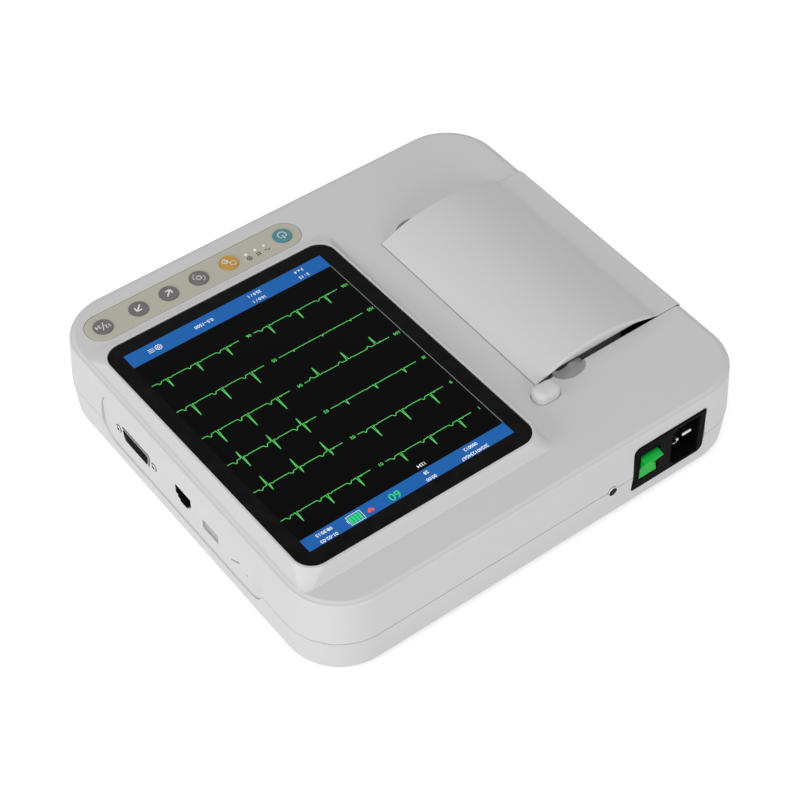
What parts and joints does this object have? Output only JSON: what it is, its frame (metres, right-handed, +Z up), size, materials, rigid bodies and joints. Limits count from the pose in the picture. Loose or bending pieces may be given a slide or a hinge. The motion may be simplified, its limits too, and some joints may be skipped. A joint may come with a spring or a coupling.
{
  "type": "ecg machine",
  "caption": "Portable ECG machine: flat case with a portrait screen, a key strip, side sockets, a mains inlet with rocker, and a strip printer under a barrel door.",
  "frame": {"origin": "centre of the bounding box's bottom face, on the surface that the feet stand on", "axes": "+X to the user's right, along the case's width; +Y away from the user, along its depth; +Z up"},
  "size_m": [0.2714, 0.2496, 0.0624],
  "materials": {
    "case_plastic": "fine satin moulding",
    "screen_glass": "polished black cover glass",
    "display": "smooth",
    "bracket_metal": "pressed sheet",
    "key_strip": "satin film",
    "power_key": "satin",
    "print_key": "satin",
    "grey_key": "satin",
    "lamp": "clear",
    "circuit_board": "solder resist",
    "plated_steel": "bright plated",
    "black_plastic": "satin",
    "port_grey": "satin",
    "rocker_green": "glossy, translucent",
    "rubber": "matte",
    "battery_wrap": "shrink film",
    "dark_plastic": "satin moulding",
    "head_ceramic": "glazed",
    "bare_aluminium": "satin",
    "gear_plastic": "moulded acetal",
    "brass": "machined",
    "paper": "coated"
  },
  "bodies": {
    "case": {"lower_case": "case_plastic", "upper_case": "case_plastic", "side_port_panel": "case_plastic", "battery_cover": "case_plastic", "screen_glass": "screen_glass", "lcd_panel": "display", "lcd_bracket": "bracket_metal", "key_overlay": "key_strip", "indicator_lamp_1": "lamp", "indicator_lamp_2": "lamp", "indicator_lamp_3": "lamp", "key_board": "circuit_board", "main_board": "circuit_board", "power_board": "circuit_board", "port_board": "circuit_board", "patient_socket_shell": "plated_steel", "patient_socket_core": "black_plastic", "jack_screw_1": "plated_steel", "jack_screw_2": "plated_steel", "network_port": "black_plastic", "usb_port": "port_grey", "mains_inlet": "black_plastic", "inlet_blade_1": "plated_steel", "inlet_blade_2": "plated_steel", "inlet_blade_3": "plated_steel", "earth_terminal": "plated_steel", "foot_1": "rubber", "foot_2": "rubber", "foot_3": "rubber", "foot_4": "rubber", "case_screw_1": "plated_steel", "case_screw_2": "plated_steel", "case_screw_3": "plated_steel", "case_screw_4": "plated_steel", "battery_pack": "battery_wrap", "printer_chassis": "dark_plastic", "print_head": "head_ceramic", "head_heat_sink": "bare_aluminium", "feed_motor": "bare_aluminium", "speaker": "dark_plastic", "hinge_pin": "plated_steel", "release_spring": "plated_steel"},
    "door": {"printer_door": "case_plastic"},
    "platen": {"platen_roller": "rubber", "platen_shaft": "plated_steel", "platen_gear": "gear_plastic"},
    "idler": {"idler_gear": "gear_plastic"},
    "pinion": {"motor_pinion": "brass"},
    "roll": {"paper_roll": "paper", "paper_spindle": "gear_plastic"},
    "release": {"release_button": "case_plastic"},
    "latch": {"latch_lever": "dark_plastic"},
    "rocker": {"rocker_switch": "rocker_green"},
    "power_key": {"power_key": "power_key"},
    "print_key": {"print_key": "print_key"},
    "lead_key": {"lead_key": "grey_key"},
    "up_key": {"up_key": "grey_key"},
    "down_key": {"down_key": "grey_key"},
    "mode_key": {"mode_key": "grey_key"}
  },
  "joints": [
    {"name": "door_hinge", "type": "hinge", "parent": "case", "child": "door", "pos_m": [-0.1337, -0.00175, 0.044], "axis": [0, -1, 0], "range_deg": [0, 95]},
    {"name": "platen_spin", "type": "hinge", "parent": "door", "child": "platen", "pos_m": [-0.0473, -0.00175, 0.043], "axis": [0, 1, 0], "continuous": true},
    {"name": "idler_spin", "type": "hinge", "parent": "case", "child": "idler", "pos_m": [-0.0473, -0.00175, 0.0286], "axis": [0, 1, 0], "continuous": true},
    {"name": "pinion_spin", "type": "hinge", "parent": "case", "child": "pinion", "pos_m": [-0.0473, -0.00175, 0.0182], "axis": [0, 1, 0], "continuous": true},
    {"name": "roll_spin", "type": "hinge", "parent": "case", "child": "roll", "pos_m": [-0.07981, -0.00175, 0.0335], "axis": [0, 1, 0], "continuous": true},
    {"name": "release_slide", "type": "slide", "parent": "case", "child": "release", "axis": [0, 0, -1], "range_m": [0, 0.0022], "stiffness_N_per_m": 400, "springref_m": -0.002, "deforming": ["release_spring"]},
    {"name": "latch_turn", "type": "hinge", "parent": "case", "child": "latch", "pos_m": [-0.0448, -0.00175, 0.028], "axis": [0, 1, 0], "range_deg": [0, 24]},
    {"name": "rocker_turn", "type": "hinge", "parent": "case", "child": "rocker", "pos_m": [-0.06381, 0.11745, 0.0285], "axis": [1, 0, 0], "range_deg": [0, 26]},
    {"name": "power_key_press", "type": "slide", "parent": "case", "child": "power_key", "axis": [0, 0, -1], "range_m": [0, 0.0005], "stiffness_N_per_m": 300, "springref_m": -0.0005},
    {"name": "print_key_press", "type": "slide", "parent": "case", "child": "print_key", "axis": [0, 0, -1], "range_m": [0, 0.0005], "stiffness_N_per_m": 300, "springref_m": -0.0005},
    {"name": "lead_key_press", "type": "slide", "parent": "case", "child": "lead_key", "axis": [0, 0, -1], "range_m": [0, 0.0005], "stiffness_N_per_m": 300, "springref_m": -0.0005},
    {"name": "up_key_press", "type": "slide", "parent": "case", "child": "up_key", "axis": [0, 0, -1], "range_m": [0, 0.0005], "stiffness_N_per_m": 300, "springref_m": -0.0005},
    {"name": "down_key_press", "type": "slide", "parent": "case", "child": "down_key", "axis": [0, 0, -1], "range_m": [0, 0.0005], "stiffness_N_per_m": 300, "springref_m": -0.0005},
    {"name": "mode_key_press", "type": "slide", "parent": "case", "child": "mode_key", "axis": [0, 0, -1], "range_m": [0, 0.0005], "stiffness_N_per_m": 300, "springref_m": -0.0005}
  ],
  "couplings": [
    {"joint": "idler_spin", "follows": "platen_spin", "ratio": -1.25},
    {"joint": "pinion_spin", "follows": "platen_spin", "ratio": 2},
    {"joint": "latch_turn", "follows": "release_slide", "rad_per_m": 119}
  ]
}
